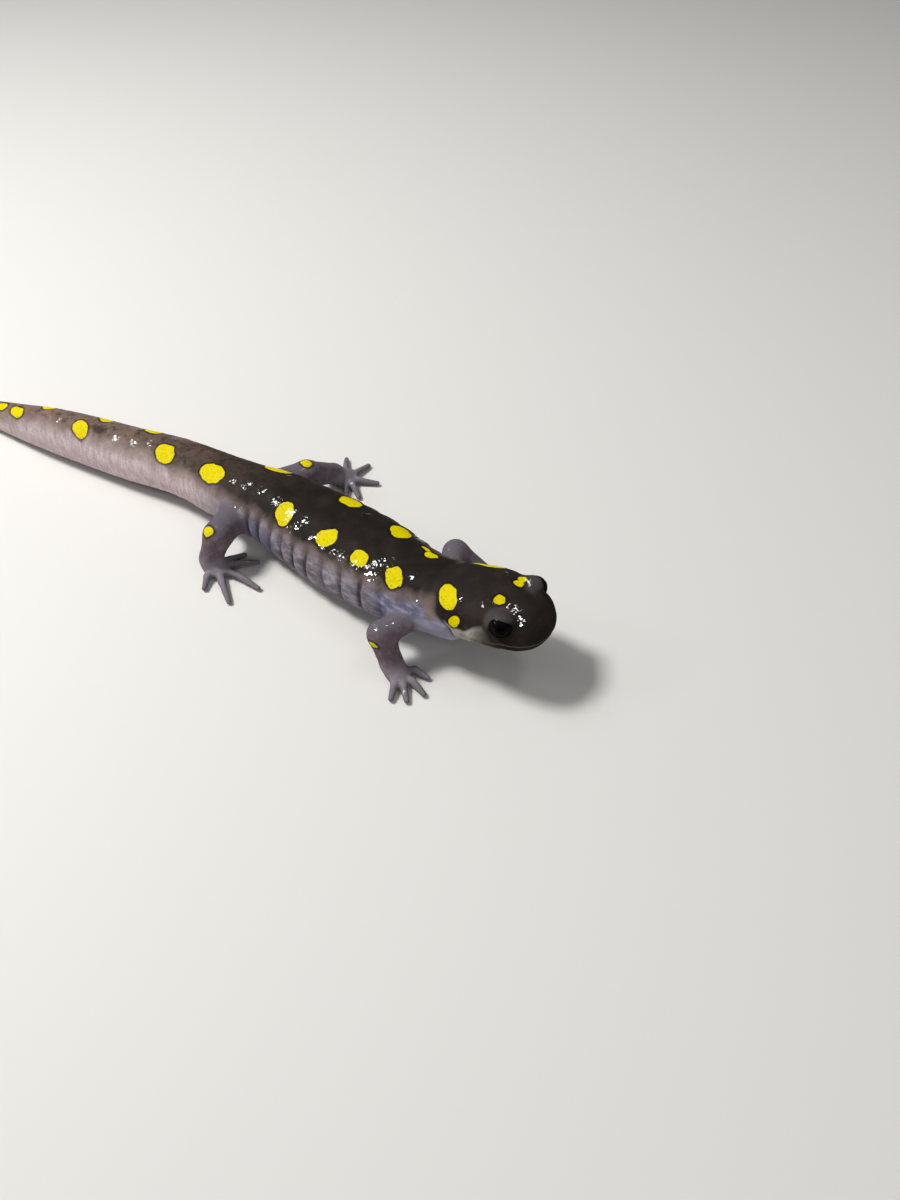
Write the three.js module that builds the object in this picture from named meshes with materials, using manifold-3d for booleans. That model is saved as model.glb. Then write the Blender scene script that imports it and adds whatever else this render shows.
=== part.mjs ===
// Spotted salamander (Ambystoma maculatum), adult, life size, standing still with its head raised.
// Millimetres: +X towards the snout, +Y the animal's left, +Z up from the floor it stands on.
// Everything is laid out from the point on the floor under the hips. The finished animal is then
// moved, so that the origin lies on the floor under the middle of its box.

import * as THREE from 'three';
import { mergeVertices } from 'three/addons/utils/BufferGeometryUtils.js';
import Module from 'manifold-3d';

const wasm = await Module();
wasm.setup();

// ---- sizes that several pieces share ----

const seam = 0.3; // gap left between two neighbouring pieces
const beyond = 300; // side of the cutting blocks, longer than the animal

// How finely the round shapes are divided.
const bodySides = 20;
const limbSides = 12;
const limbCapSteps = 2;
const toeSides = 6;
const footBall = [12, 7];
const headBall = [14, 8];

// Sections of the body from the tail tip to the snout. x, y and z give the middle of a section at
// its widest level, wide its width, up and down its height above and below that level, and full
// how square it is: 2 is an ellipse.
const sections = [
  { x: -93.0, y: -15.3, z: 1.3, wide: 1.5, up: 1.2, down: 1.2, full: 2.0 },
  { x: -80.0, y: -12.8, z: 2.4, wide: 3.2, up: 2.4, down: 2.4, full: 2.0 },
  { x: -68.5, y: -10.8, z: 3.4, wide: 4.9, up: 3.5, down: 3.5, full: 2.0 },
  { x: -58.0, y: -9.2, z: 4.4, wide: 6.9, up: 4.5, down: 4.5, full: 2.1 },
  { x: -48.0, y: -7.4, z: 5.3, wide: 8.9, up: 5.4, down: 5.4, full: 2.1 },
  { x: -38.0, y: -5.4, z: 5.7, wide: 10.2, up: 5.8, down: 5.8, full: 2.1 },
  { x: -28.0, y: -3.5, z: 6.1, wide: 11.0, up: 5.9, down: 6.0, full: 2.1 },
  { x: -14.0, y: -0.8, z: 7.0, wide: 11.7, up: 6.0, down: 6.0, full: 2.1 },
  { x: -4.0, y: -0.2, z: 7.6, wide: 12.6, up: 6.1, down: 6.3, full: 2.1 },
  { x: 4.0, y: 0.1, z: 7.9, wide: 13.8, up: 6.5, down: 6.4, full: 2.2 },
  { x: 12.0, y: 0.9, z: 7.9, wide: 15.4, up: 7.0, down: 7.0, full: 2.3 },
  { x: 20.0, y: 0.9, z: 7.6, wide: 17.2, up: 7.6, down: 7.7, full: 2.3 },
  { x: 28.0, y: 0.5, z: 7.7, wide: 18.2, up: 8.0, down: 7.9, full: 2.3 },
  { x: 36.0, y: -0.1, z: 8.4, wide: 17.9, up: 7.9, down: 7.9, full: 2.3 },
  { x: 44.0, y: -1.0, z: 9.4, wide: 16.3, up: 7.1, down: 7.1, full: 2.3 },
  { x: 50.0, y: -1.3, z: 10.4, wide: 14.6, up: 6.3, down: 6.5, full: 2.2 },
  { x: 55.5, y: -1.0, z: 11.6, wide: 13.8, up: 5.7, down: 6.5, full: 2.2 },
  { x: 60.0, y: -0.1, z: 12.6, wide: 15.0, up: 5.5, down: 5.1, full: 2.2 },
  { x: 64.0, y: 0.5, z: 13.1, wide: 16.0, up: 5.4, down: 4.2, full: 2.2 },
  { x: 69.0, y: 0.7, z: 13.3, wide: 14.9, up: 4.7, down: 3.7, full: 2.0 },
  { x: 72.0, y: 0.6, z: 12.8, wide: 14.2, up: 4.3, down: 3.3, full: 2.0 },
  { x: 74.8, y: 0.5, z: 12.2, wide: 13.7, up: 3.8, down: 2.8, full: 2.0 },
];

// Lengths over which the two ends of the body close, and how squarely they do: 2 is an ellipse.
const rounding = { tail: 3.0, snout: 7.2, widePower: 2.0, tallPower: 2.6 };

// Upright grooves between the ribs on each flank, which fade out over the back and belly: their
// distances in front of the hips, and how wide and deep each is.
const grooves = {
  places: [9.5, 13.2, 16.7, 20.0, 23.9, 27.5, 32.2, 37.1, 41.8, 46.2],
  halfWide: 0.65,
  depth: 0.4,
  fade: 0.5,
};

// Where the body is parted, as distances in front of the hips, and how far apart its rings may be.
const bodyPieces = [
  { name: 'tail_tip', from: -93.0, to: -62.0, step: 4.5 },
  { name: 'tail_middle', from: -62.0, to: -34.0, step: 4.7 },
  { name: 'tail_base', from: -34.0, to: -6.0, step: 4.7 },
  { name: 'trunk_rear', from: -6.0, to: 23.5, step: 3.2 },
  { name: 'trunk_front', from: 23.5, to: 50.0, step: 3.2 },
  { name: 'neck', from: 50.0, to: 58.2, step: 2.0 },
  { name: 'head', from: 58.2, to: 74.8, step: 1.4 },
];

// Reach of the body that the legs are trimmed to.
const legReach = { from: -12.0, to: 64.0, step: 3.0 };

// The head: eyes, the raised lids that hood them from above, and the cut between the jaws.
const eye = { x: 68.4, y: 0.8, aside: 5.2, z: 16.15, radius: 2.15 };
const lid = { x: 67.9, aside: 4.0, z: 15.9, long: 6.6, wide: 5.4, tall: 5.3 };
const mouth = { corner: 63.4, height: 12.4, slope: 0.045, block: 40.0 };

const limbSwell = 1.03; // how much a limb's middle swells over the mean of its two ends

// Joints, thickness and toe tips of the four legs.
const legs = [
  {
    name: 'front_right',
    parts: ['upper_arm', 'forearm', 'hand'],
    root: [52.0, -5.6, 9.4],
    bend: [49.0, -12.8, 8.3],
    ankle: [51.5, -13.4, 2.7],
    sole: [53.1, -13.7, 1.1],
    thick: [4.4, 4.5, 4.1],
    soleSize: [5.0, 4.4, 2.4],
    toes: [
      { knuckle: [55.1, -11.3], tip: [57.8, -11.1] },
      { knuckle: [56.3, -13.6], tip: [59.5, -14.4] },
      { knuckle: [55.6, -15.3], tip: [57.9, -17.3] },
      { knuckle: [54.1, -15.9], tip: [55.4, -18.6] },
    ],
  },
  {
    name: 'front_left',
    parts: ['upper_arm', 'forearm', 'hand'],
    root: [52.0, 2.8, 9.4],
    bend: [48.2, 10.8, 9.0],
    ankle: [56.0, 13.0, 2.8],
    sole: [57.8, 13.4, 1.1],
    thick: [4.4, 4.5, 4.1],
    soleSize: [5.0, 4.4, 2.4],
    toes: [
      { knuckle: [60.0, 12.0], tip: [62.2, 10.4] },
      { knuckle: [60.9, 13.4], tip: [63.6, 13.4] },
      { knuckle: [60.1, 14.9], tip: [62.4, 16.6] },
      { knuckle: [58.5, 15.7], tip: [59.6, 18.4] },
    ],
  },
  {
    name: 'hind_right',
    parts: ['thigh', 'shank', 'foot'],
    root: [5.8, -4.2, 7.9],
    bend: [7.6, -11.9, 8.3],
    ankle: [6.3, -14.0, 2.8],
    sole: [7.6, -13.9, 1.2],
    thick: [6.6, 5.2, 4.3],
    soleSize: [6.2, 5.4, 2.6],
    toes: [
      { knuckle: [8.2, -10.9], tip: [9.2, -8.0] },
      { knuckle: [10.2, -10.9], tip: [12.7, -8.0] },
      { knuckle: [12.6, -13.2], tip: [17.9, -13.1] },
      { knuckle: [11.4, -16.4], tip: [15.8, -19.0] },
      { knuckle: [7.9, -17.0], tip: [9.4, -19.3] },
    ],
  },
  {
    name: 'hind_left',
    parts: ['thigh', 'shank', 'foot'],
    root: [5.4, 4.2, 7.6],
    bend: [8.6, 12.6, 7.6],
    ankle: [9.0, 19.8, 2.9],
    sole: [10.3, 21.5, 1.2],
    thick: [6.6, 5.2, 4.3],
    soleSize: [6.2, 5.4, 2.6],
    toes: [
      { knuckle: [12.3, 19.9], tip: [14.3, 17.6] },
      { knuckle: [13.3, 21.0], tip: [16.6, 19.0] },
      { knuckle: [13.3, 22.8], tip: [17.0, 24.9] },
      { knuckle: [11.2, 24.2], tip: [11.6, 28.4] },
      { knuckle: [8.8, 23.8], tip: [6.2, 27.2] },
    ],
  },
];

// A toe: heights of its middle line at the root, the knuckle and the tip, and its thickness at
// parts of its length. It dips just below the floor, where the sole is cut flat.
const toe = {
  rootHeight: 0.85,
  knuckleHeight: 1.15,
  tipHeight: 0.5,
  thickness: [
    [0.2, 1.9],
    [0.55, 1.6],
    [0.9, 1.25],
    [1.0, 0.6],
  ],
};

const skinBack = new THREE.MeshStandardMaterial({ color: 0x2f2a27, roughness: 0.3, metalness: 0 });
const skinTail = new THREE.MeshStandardMaterial({ color: 0x6f5d5a, roughness: 0.32, metalness: 0 });
const skinLimb = new THREE.MeshStandardMaterial({ color: 0x5a5258, roughness: 0.32, metalness: 0 });
const eyeBlack = new THREE.MeshStandardMaterial({ color: 0x0d0e12, roughness: 0.06, metalness: 0 });

// ---- body surface ----

// Slopes of one property at the sections, chosen so that the curve through them never overshoots.
function slopesOf(key) {
  const last = sections.length - 1;
  const rise = (i) => (sections[i + 1][key] - sections[i][key]) / (sections[i + 1].x - sections[i].x);
  return sections.map((section, i) => {
    if (i === 0) return rise(0);
    if (i === last) return rise(last - 1);
    const before = rise(i - 1);
    const after = rise(i);
    return before * after <= 0 ? 0 : (2 * before * after) / (before + after);
  });
}

const shape = ['y', 'z', 'wide', 'up', 'down', 'full'];
const slopes = Object.fromEntries(shape.map((key) => [key, slopesOf(key)]));

// Value of one property at a distance x in front of the hips.
function along(key, x) {
  let i = 0;
  while (i < sections.length - 2 && x > sections[i + 1].x) i += 1;
  const start = sections[i];
  const end = sections[i + 1];
  const span = end.x - start.x;
  const t = (x - start.x) / span;
  return (
    start[key] * (1 + 2 * t) * (1 - t) ** 2 +
    end[key] * t * t * (3 - 2 * t) +
    slopes[key][i] * span * t * (1 - t) ** 2 +
    slopes[key][i + 1] * span * t * t * (t - 1)
  );
}

const tailTip = sections[0].x;
const snoutTip = sections[sections.length - 1].x;

// How far the outline has closed at x: 1 along the body, 0 at the very end.
function closing(x, power) {
  const toTail = Math.min((x - tailTip) / rounding.tail, 1);
  const toSnout = Math.min((snoutTip - x) / rounding.snout, 1);
  const short = 1 - Math.min(toTail, toSnout);
  return Math.max(1 - short ** power, 0) ** (1 / power);
}

// Depth of the rib grooves at x: full in the middle of a groove, none between two grooves.
function grooveDepth(x) {
  const off = Math.min(...grooves.places.map((place) => Math.abs(x - place)));
  return grooves.depth * Math.max(0, 1 - off / grooves.halfWide);
}

// Point on the body at x, at an angle turned from the left flank over the back to the right flank.
function bodyPoint(x, angle, grow) {
  const step = 0.01;
  const forward = new THREE.Vector3(
    1,
    (along('y', x + step) - along('y', x - step)) / (2 * step),
    (along('z', x + step) - along('z', x - step)) / (2 * step),
  ).normalize();
  const left = new THREE.Vector3(-forward.y, forward.x, 0).normalize();
  const up = new THREE.Vector3().crossVectors(forward, left);
  const cos = Math.cos(angle);
  const sin = Math.sin(angle);
  const full = along('full', x);
  const reach = (Math.abs(cos) ** full + Math.abs(sin) ** full) ** (-1 / full);
  const dent = grooveDepth(x) * Math.abs(cos) ** grooves.fade;
  const height = sin > 0 ? along('up', x) : along('down', x);
  const halfWide = (along('wide', x) / 2) * closing(x, rounding.widePower) + grow - dent;
  const halfTall = height * closing(x, rounding.tallPower) + grow - dent;
  return new THREE.Vector3(x, along('y', x), along('z', x))
    .addScaledVector(left, reach * cos * halfWide)
    .addScaledVector(up, reach * sin * halfTall);
}

// ---- making closed solids ----

function solidOf(geometry) {
  const bare = geometry.index ? geometry.toNonIndexed() : geometry;
  bare.deleteAttribute('normal');
  bare.deleteAttribute('uv');
  const merged = mergeVertices(bare, 1e-4);
  const used = [];
  for (let i = 0; i < merged.index.count; i += 3) {
    const corners = [merged.index.getX(i), merged.index.getX(i + 1), merged.index.getX(i + 2)];
    if (new Set(corners).size === 3) used.push(...corners);
  }
  return new wasm.Manifold(
    new wasm.Mesh({
      numProp: 3,
      vertProperties: new Float32Array(merged.attributes.position.array),
      triVerts: new Uint32Array(used),
    }),
  );
}

function geometryOf(solid) {
  const mesh = solid.getMesh();
  const geometry = new THREE.BufferGeometry();
  geometry.setAttribute('position', new THREE.BufferAttribute(mesh.vertProperties, 3));
  geometry.setIndex(new THREE.BufferAttribute(mesh.triVerts, 1));
  return geometry;
}

// Skin over a row of rings, closed at both ends.
function loft(rings) {
  const sides = rings[0].length;
  const points = rings.flat();
  const faces = [];
  for (let r = 0; r + 1 < rings.length; r += 1) {
    for (let s = 0; s < sides; s += 1) {
      const here = r * sides + s;
      const next = r * sides + ((s + 1) % sides);
      faces.push(here, next, here + sides, next, next + sides, here + sides);
    }
  }
  const ends = [rings[0], rings[rings.length - 1]];
  ends.forEach((ring, end) => {
    const middle = ring.reduce((sum, point) => sum.add(point), new THREE.Vector3()).divideScalar(sides);
    points.push(middle);
    const hub = points.length - 1;
    const first = end * (rings.length - 1) * sides;
    for (let s = 0; s < sides; s += 1) {
      const a = first + s;
      const b = first + ((s + 1) % sides);
      faces.push(...(end ? [a, b, hub] : [b, a, hub]));
    }
  });
  const geometry = new THREE.BufferGeometry().setFromPoints(points);
  geometry.setIndex(faces);
  return solidOf(geometry);
}

// Distances at which a length of the body has its rings: three to a groove and one between two
// grooves, and even steps that crowd together towards the two tips elsewhere.
function ringPlaces({ from, to, step }) {
  const places = [from, to];
  const count = Math.ceil((to - from) / step);
  const firstGroove = grooves.places[0] - 1.5;
  const lastGroove = grooves.places[grooves.places.length - 1] + 1.5;
  for (let i = 1; i < count; i += 1) {
    let part = i / count;
    if (to === snoutTip) part = Math.sin((part * Math.PI) / 2);
    if (from === tailTip) part = 1 - Math.cos((part * Math.PI) / 2);
    const x = THREE.MathUtils.lerp(from, to, part);
    if (x < firstGroove || x > lastGroove) places.push(x);
  }
  grooves.places.forEach((groove, g) => {
    const near = [-1, 0, 1].map((side) => groove + side * grooves.halfWide);
    if (g > 0) near.push((groove + grooves.places[g - 1]) / 2);
    places.push(...near.filter((x) => x > from && x < to));
  });
  return places.sort((a, b) => a - b);
}

// Length of the body between two distances in front of the hips.
function bodyLength(piece, grow = 0) {
  const rings = ringPlaces(piece).map((x) =>
    Array.from({ length: bodySides }, (_, s) => bodyPoint(x, (2 * Math.PI * (s + 0.5)) / bodySides, grow)),
  );
  return loft(rings);
}

// Round-ended limb from one joint to the next, swelling a little in the middle.
function limb(start, end, thickStart, thickEnd) {
  const from = new THREE.Vector3(...start);
  const to = new THREE.Vector3(...end);
  const length = from.distanceTo(to);
  const profile = [];
  for (let i = 0; i <= limbCapSteps; i += 1) {
    const turn = (i / limbCapSteps) * (Math.PI / 2);
    const radius = thickStart / 2;
    profile.push(new THREE.Vector2(radius * Math.sin(turn), -radius * Math.cos(turn)));
  }
  profile.push(new THREE.Vector2(((thickStart + thickEnd) / 4) * limbSwell, length / 2));
  for (let i = limbCapSteps; i >= 0; i -= 1) {
    const turn = (i / limbCapSteps) * (Math.PI / 2);
    const radius = thickEnd / 2;
    profile.push(new THREE.Vector2(radius * Math.sin(turn), length + radius * Math.cos(turn)));
  }
  profile[0].x = 0;
  profile[profile.length - 1].x = 0;
  const lathe = new THREE.LatheGeometry(profile, limbSides);
  const direction = to.clone().sub(from).normalize();
  lathe.applyQuaternion(new THREE.Quaternion().setFromUnitVectors(new THREE.Vector3(0, 1, 0), direction));
  lathe.translate(from.x, from.y, from.z);
  return solidOf(lathe);
}

function ellipsoid(centre, size, divisions, turn = 0) {
  const ball = new THREE.SphereGeometry(0.5, ...divisions);
  ball.rotateX(Math.PI / 2);
  ball.scale(...size);
  ball.rotateZ(turn);
  ball.translate(...centre);
  return solidOf(ball);
}

// Block larger than the animal, on the side of a point that the direction points to, and set back
// from it.
function blockBeyond(point, direction, setBack) {
  const block = new THREE.BoxGeometry(beyond, beyond, beyond);
  block.translate(0, 0, beyond / 2 + setBack);
  const facing = direction.clone().normalize();
  block.applyQuaternion(new THREE.Quaternion().setFromUnitVectors(new THREE.Vector3(0, 0, 1), facing));
  block.translate(point.x, point.y, point.z);
  return solidOf(block);
}

const upwards = new THREE.Vector3(0, 0, 1);
const aboveFloor = blockBeyond(new THREE.Vector3(0, 0, 0), upwards, 0);

// ---- the pieces ----

const animal = new THREE.Group();

function addPiece(name, solid, material) {
  const mesh = new THREE.Mesh(geometryOf(solid), material);
  mesh.name = name;
  animal.add(mesh);
}

// Block below the mouth line and ahead of the mouth's corner, that much larger all round.
function jawBlock(widen) {
  const size = mouth.block;
  const block = new THREE.BoxGeometry(size, size, size);
  block.translate(size / 2 - widen, 0, -size / 2 + widen);
  block.rotateY(-mouth.slope);
  block.translate(mouth.corner, 0, mouth.height);
  return solidOf(block);
}

function makeHead(skull) {
  let head = skull;
  for (const side of [-1, 1]) {
    const place = [lid.x, eye.y + side * lid.aside, lid.z];
    head = head.add(ellipsoid(place, [lid.long, lid.wide, lid.tall], headBall));
  }
  for (const side of [-1, 1]) {
    const place = [eye.x, eye.y + side * eye.aside, eye.z];
    const socket = 2 * (eye.radius + seam);
    head = head.subtract(ellipsoid(place, [socket, socket, socket], headBall));
  }
  addPiece('head', head.subtract(jawBlock(seam / 2)), skinBack);
  addPiece('lower_jaw', head.intersect(jawBlock(-seam / 2)), skinLimb);
}

function makeEyes() {
  for (const [name, side] of [['eye_right', -1], ['eye_left', 1]]) {
    const ball = new THREE.Mesh(new THREE.SphereGeometry(eye.radius, ...headBall), eyeBlack);
    ball.name = name;
    ball.rotation.x = Math.PI / 2;
    ball.position.set(eye.x, eye.y + side * eye.aside, eye.z);
    animal.add(ball);
  }
}

function makeBody() {
  for (const piece of bodyPieces) {
    const from = piece.from === tailTip ? tailTip : piece.from + seam / 2;
    const to = piece.to === snoutTip ? snoutTip : piece.to - seam / 2;
    const length = bodyLength({ from, to, step: piece.step }).intersect(aboveFloor);
    if (piece.name === 'head') makeHead(length);
    else addPiece(piece.name, length, piece.name.startsWith('tail') ? skinTail : skinBack);
  }
}

// One toe: a tapering tube, arched at the knuckle, with a rounded tip.
function makeToe(start, knuckle, tip) {
  const path = new THREE.CatmullRomCurve3([
    new THREE.Vector3(start[0], start[1], toe.rootHeight),
    new THREE.Vector3(...knuckle, toe.knuckleHeight),
    new THREE.Vector3(...tip, toe.tipHeight),
  ]);
  const rings = toe.thickness.map(([part, thick]) => {
    const centre = path.getPointAt(part);
    const forward = path.getTangentAt(part);
    const left = new THREE.Vector3(-forward.y, forward.x, 0).normalize();
    const up = new THREE.Vector3().crossVectors(forward, left);
    return Array.from({ length: toeSides }, (_, s) => {
      const angle = (2 * Math.PI * (s + 0.5)) / toeSides;
      return centre
        .clone()
        .addScaledVector(left, (thick / 2) * Math.cos(angle))
        .addScaledVector(up, (thick / 2) * Math.sin(angle));
    });
  });
  return loft(rings);
}

// Toes, sole and ankle in one solid, flat underneath.
function makeFoot(leg) {
  const ahead = Math.atan2(leg.sole[1] - leg.ankle[1], leg.sole[0] - leg.ankle[0]);
  let foot = ellipsoid(leg.sole, leg.soleSize, footBall, ahead);
  foot = foot.add(limb(leg.ankle, leg.sole, leg.thick[2], leg.soleSize[2]));
  for (const { knuckle, tip } of leg.toes) foot = foot.add(makeToe(leg.sole, knuckle, tip));
  return foot;
}

// Three pieces of one leg, parted at the elbow or knee and at the wrist or ankle, and trimmed to
// stay clear of the body.
function makeLeg(leg, body) {
  const [root, bend, ankle] = [leg.root, leg.bend, leg.ankle].map((point) => new THREE.Vector3(...point));
  const [thickRoot, thickBend, thickAnkle] = leg.thick;
  const upperWay = root.clone().sub(bend).normalize();
  const lowerWay = ankle.clone().sub(bend).normalize();
  const towardsRoot = upperWay.clone().sub(lowerWay);
  const upper = limb(leg.root, leg.bend, thickRoot, thickBend);
  const lower = limb(leg.bend, leg.ankle, thickBend, thickAnkle);
  const gap = seam / 2;
  const solids = [
    upper.intersect(blockBeyond(bend, towardsRoot, gap)),
    lower
      .intersect(blockBeyond(bend, towardsRoot.clone().negate(), gap))
      .intersect(blockBeyond(ankle, lowerWay.clone().negate(), gap)),
    makeFoot(leg).add(lower).intersect(blockBeyond(ankle, lowerWay, gap)),
  ];
  leg.parts.forEach((part, i) => {
    const clear = solids[i].subtract(body).intersect(aboveFloor);
    addPiece(`${leg.name}_${part}`, clear, skinLimb);
  });
}

makeBody();
makeEyes();
const bodyWithClearance = bodyLength(legReach, seam);
for (const leg of legs) makeLeg(leg, bodyWithClearance);

const box = new THREE.Box3().setFromObject(animal);
const middle = box.getCenter(new THREE.Vector3());
animal.position.set(-middle.x, -middle.y, 0);

export default animal;
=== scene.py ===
import math

import bmesh
import bpy
import numpy as np
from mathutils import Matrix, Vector


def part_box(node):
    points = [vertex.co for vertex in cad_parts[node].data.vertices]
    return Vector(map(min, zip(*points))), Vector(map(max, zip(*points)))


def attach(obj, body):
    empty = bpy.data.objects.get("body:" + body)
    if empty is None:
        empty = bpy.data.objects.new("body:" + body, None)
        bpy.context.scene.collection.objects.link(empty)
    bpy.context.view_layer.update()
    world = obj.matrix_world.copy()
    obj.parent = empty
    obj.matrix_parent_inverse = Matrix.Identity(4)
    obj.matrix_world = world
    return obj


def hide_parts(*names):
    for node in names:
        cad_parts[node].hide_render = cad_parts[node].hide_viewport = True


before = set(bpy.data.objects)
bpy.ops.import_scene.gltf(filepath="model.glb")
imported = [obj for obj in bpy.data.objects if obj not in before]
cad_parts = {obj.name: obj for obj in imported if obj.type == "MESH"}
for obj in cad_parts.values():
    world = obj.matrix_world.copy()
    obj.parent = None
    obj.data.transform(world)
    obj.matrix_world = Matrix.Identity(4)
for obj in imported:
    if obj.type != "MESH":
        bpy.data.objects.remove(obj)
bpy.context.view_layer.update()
scene = bpy.context.scene
print("frame loaded")

# The animal is worked out in millimetres: x to the snout, y to its left, z up from the floor
# under the hips. mm turns that into the frame's metres.
mm = 0.001

body = {
    # middle line: along, aside and height; then width, height above it, depth below it, squareness
    "sections": [
        (-93.0, -15.3, 1.3, 1.5, 1.2, 1.2, 2.0),
        (-80.0, -12.8, 2.4, 3.2, 2.4, 2.4, 2.0),
        (-68.5, -10.8, 3.4, 4.9, 3.5, 3.5, 2.0),
        (-58.0, -9.2, 4.4, 6.9, 4.5, 4.5, 2.1),
        (-48.0, -7.4, 5.3, 8.9, 5.4, 5.4, 2.1),
        (-38.0, -5.4, 5.7, 10.2, 5.8, 5.8, 2.1),
        (-28.0, -3.5, 6.1, 11.0, 5.9, 6.0, 2.1),
        (-14.0, -0.8, 7.0, 11.7, 6.0, 6.0, 2.1),
        (-4.0, -0.2, 7.6, 12.6, 6.1, 6.3, 2.1),
        (4.0, 0.1, 7.9, 13.8, 6.5, 6.4, 2.2),
        (12.0, 0.9, 7.9, 15.4, 7.0, 7.0, 2.3),
        (20.0, 0.9, 7.6, 17.2, 7.6, 7.7, 2.3),
        (28.0, 0.5, 7.7, 18.2, 8.0, 7.9, 2.3),
        (36.0, -0.1, 8.4, 17.9, 7.9, 7.9, 2.3),
        (44.0, -1.0, 9.4, 16.3, 7.1, 7.1, 2.3),
        (50.0, -1.3, 10.4, 14.6, 6.3, 6.5, 2.2),
        (55.5, -1.0, 11.6, 13.8, 5.7, 6.5, 2.2),
        (60.0, -0.1, 12.6, 15.0, 5.5, 5.1, 2.2),
        (64.0, 0.5, 13.1, 16.0, 5.4, 4.2, 2.2),
        (69.0, 0.7, 13.3, 14.9, 4.7, 3.7, 2.0),
        (72.0, 0.6, 12.8, 14.2, 4.3, 3.3, 2.0),
        (74.8, 0.5, 12.2, 13.7, 3.8, 2.8, 2.0),
    ],
    "tailRound": 3.0,  # lengths over which the two ends close
    "snoutRound": 7.2,
    "roundPower": 2.2,  # and how squarely: 2 is an ellipse
}


def curveThrough(xs, ys, at):
    # smooth curve with no overshoot: each slope is the harmonic mean of the rises beside it
    rise = np.diff(ys) / np.diff(xs)
    before, after = rise[:-1], rise[1:]
    same = before * after > 0
    between = np.where(same, 2 * before * after / np.where(same, before + after, 1.0), 0.0)
    slope = np.concatenate([rise[:1], between, rise[-1:]])
    i = np.clip(np.searchsorted(xs, at) - 1, 0, len(xs) - 2)
    span = xs[i + 1] - xs[i]
    t = (at - xs[i]) / span
    ends = ys[i] * (1 + 2 * t) * (1 - t) ** 2 + ys[i + 1] * t * t * (3 - 2 * t)
    return ends + slope[i] * span * t * (1 - t) ** 2 + slope[i + 1] * span * t * t * (t - 1)


def lengthOf(vectors):
    return np.sqrt((vectors * vectors).sum(-1))


def unit(vectors):
    return vectors / np.maximum(lengthOf(vectors)[..., None], 1e-9)


def smoothStep(low, high, value):
    t = np.clip((value - low) / (high - low), 0.0, 1.0)
    return t * t * (3 - 2 * t)


def fadeOut(low, high, value):
    return 1 - smoothStep(low, high, value)


def within(stretch, s):
    # full along a stretch of the body that begins over its first pair of places and ends over its second
    begins, ends = stretch
    return smoothStep(*begins, s) * fadeOut(*ends, s)


def bump(value, wide):
    return np.exp(-((value / wide) ** 2))


def blendMin(a, b, soft):
    h = np.clip(0.5 + 0.5 * (b - a) / soft, 0.0, 1.0)
    return b * (1 - h) + a * h - soft * h * (1 - h)


def blendMax(a, b, soft):
    return -blendMin(-a, -b, soft)


def makeLine(step):
    # rows of 16: middle line, then the ways forward, left and up, then half width, height, depth, squareness
    rows = np.array(body["sections"])
    xs = np.arange(rows[0, 0], rows[-1, 0] + step / 2, step)
    y, z, wide, up, down, full = (curveThrough(rows[:, 0], rows[:, k], xs) for k in range(1, 7))
    forward = unit(np.stack([np.ones_like(xs), np.gradient(y, xs), np.gradient(z, xs)], 1))
    left = unit(np.stack([-forward[:, 1], forward[:, 0], 0 * xs], 1))
    upward = np.cross(forward, left)
    sizes = np.stack([wide / 2, up, down, full], 1)
    middle = np.stack([xs, y, z], 1)
    return {"start": xs[0], "step": step, "rows": np.concatenate([middle, forward, left, upward, sizes], 1)}


line = makeLine(0.1)
tailEnd = body["sections"][0][0]
snoutEnd = body["sections"][-1][0]


def rowsAt(s):
    place = (np.clip(s, tailEnd, snoutEnd) - line["start"]) / line["step"]
    i = np.clip(place.astype(int), 0, len(line["rows"]) - 2)
    t = (place - i)[:, None]
    rows = line["rows"][i] * (1 - t) + line["rows"][i + 1] * t
    over = s - np.clip(s, tailEnd, snoutEnd)
    rows[:, :3] += rows[:, 3:6] * (over / rows[:, 3])[:, None]
    return rows


def alongBody(points):
    # how far along each point is, how far aside and above the middle line, and the section there
    s = points[:, 0].copy()
    for _ in range(4):
        rows = rowsAt(s)
        s = s + ((points - rows[:, :3]) * rows[:, 3:6]).sum(1) * rows[:, 3]
    rows = rowsAt(s)
    away = points - rows[:, :3]
    side = (away * rows[:, 6:9]).sum(1)
    height = (away * rows[:, 9:12]).sum(1)
    halfTall = np.where(height > 0, rows[:, 13], rows[:, 14])
    section = {"halfWide": rows[:, 12], "halfTall": halfTall, "full": rows[:, 15]}
    return {"s": s, "side": side, "height": height, **section}


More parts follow.
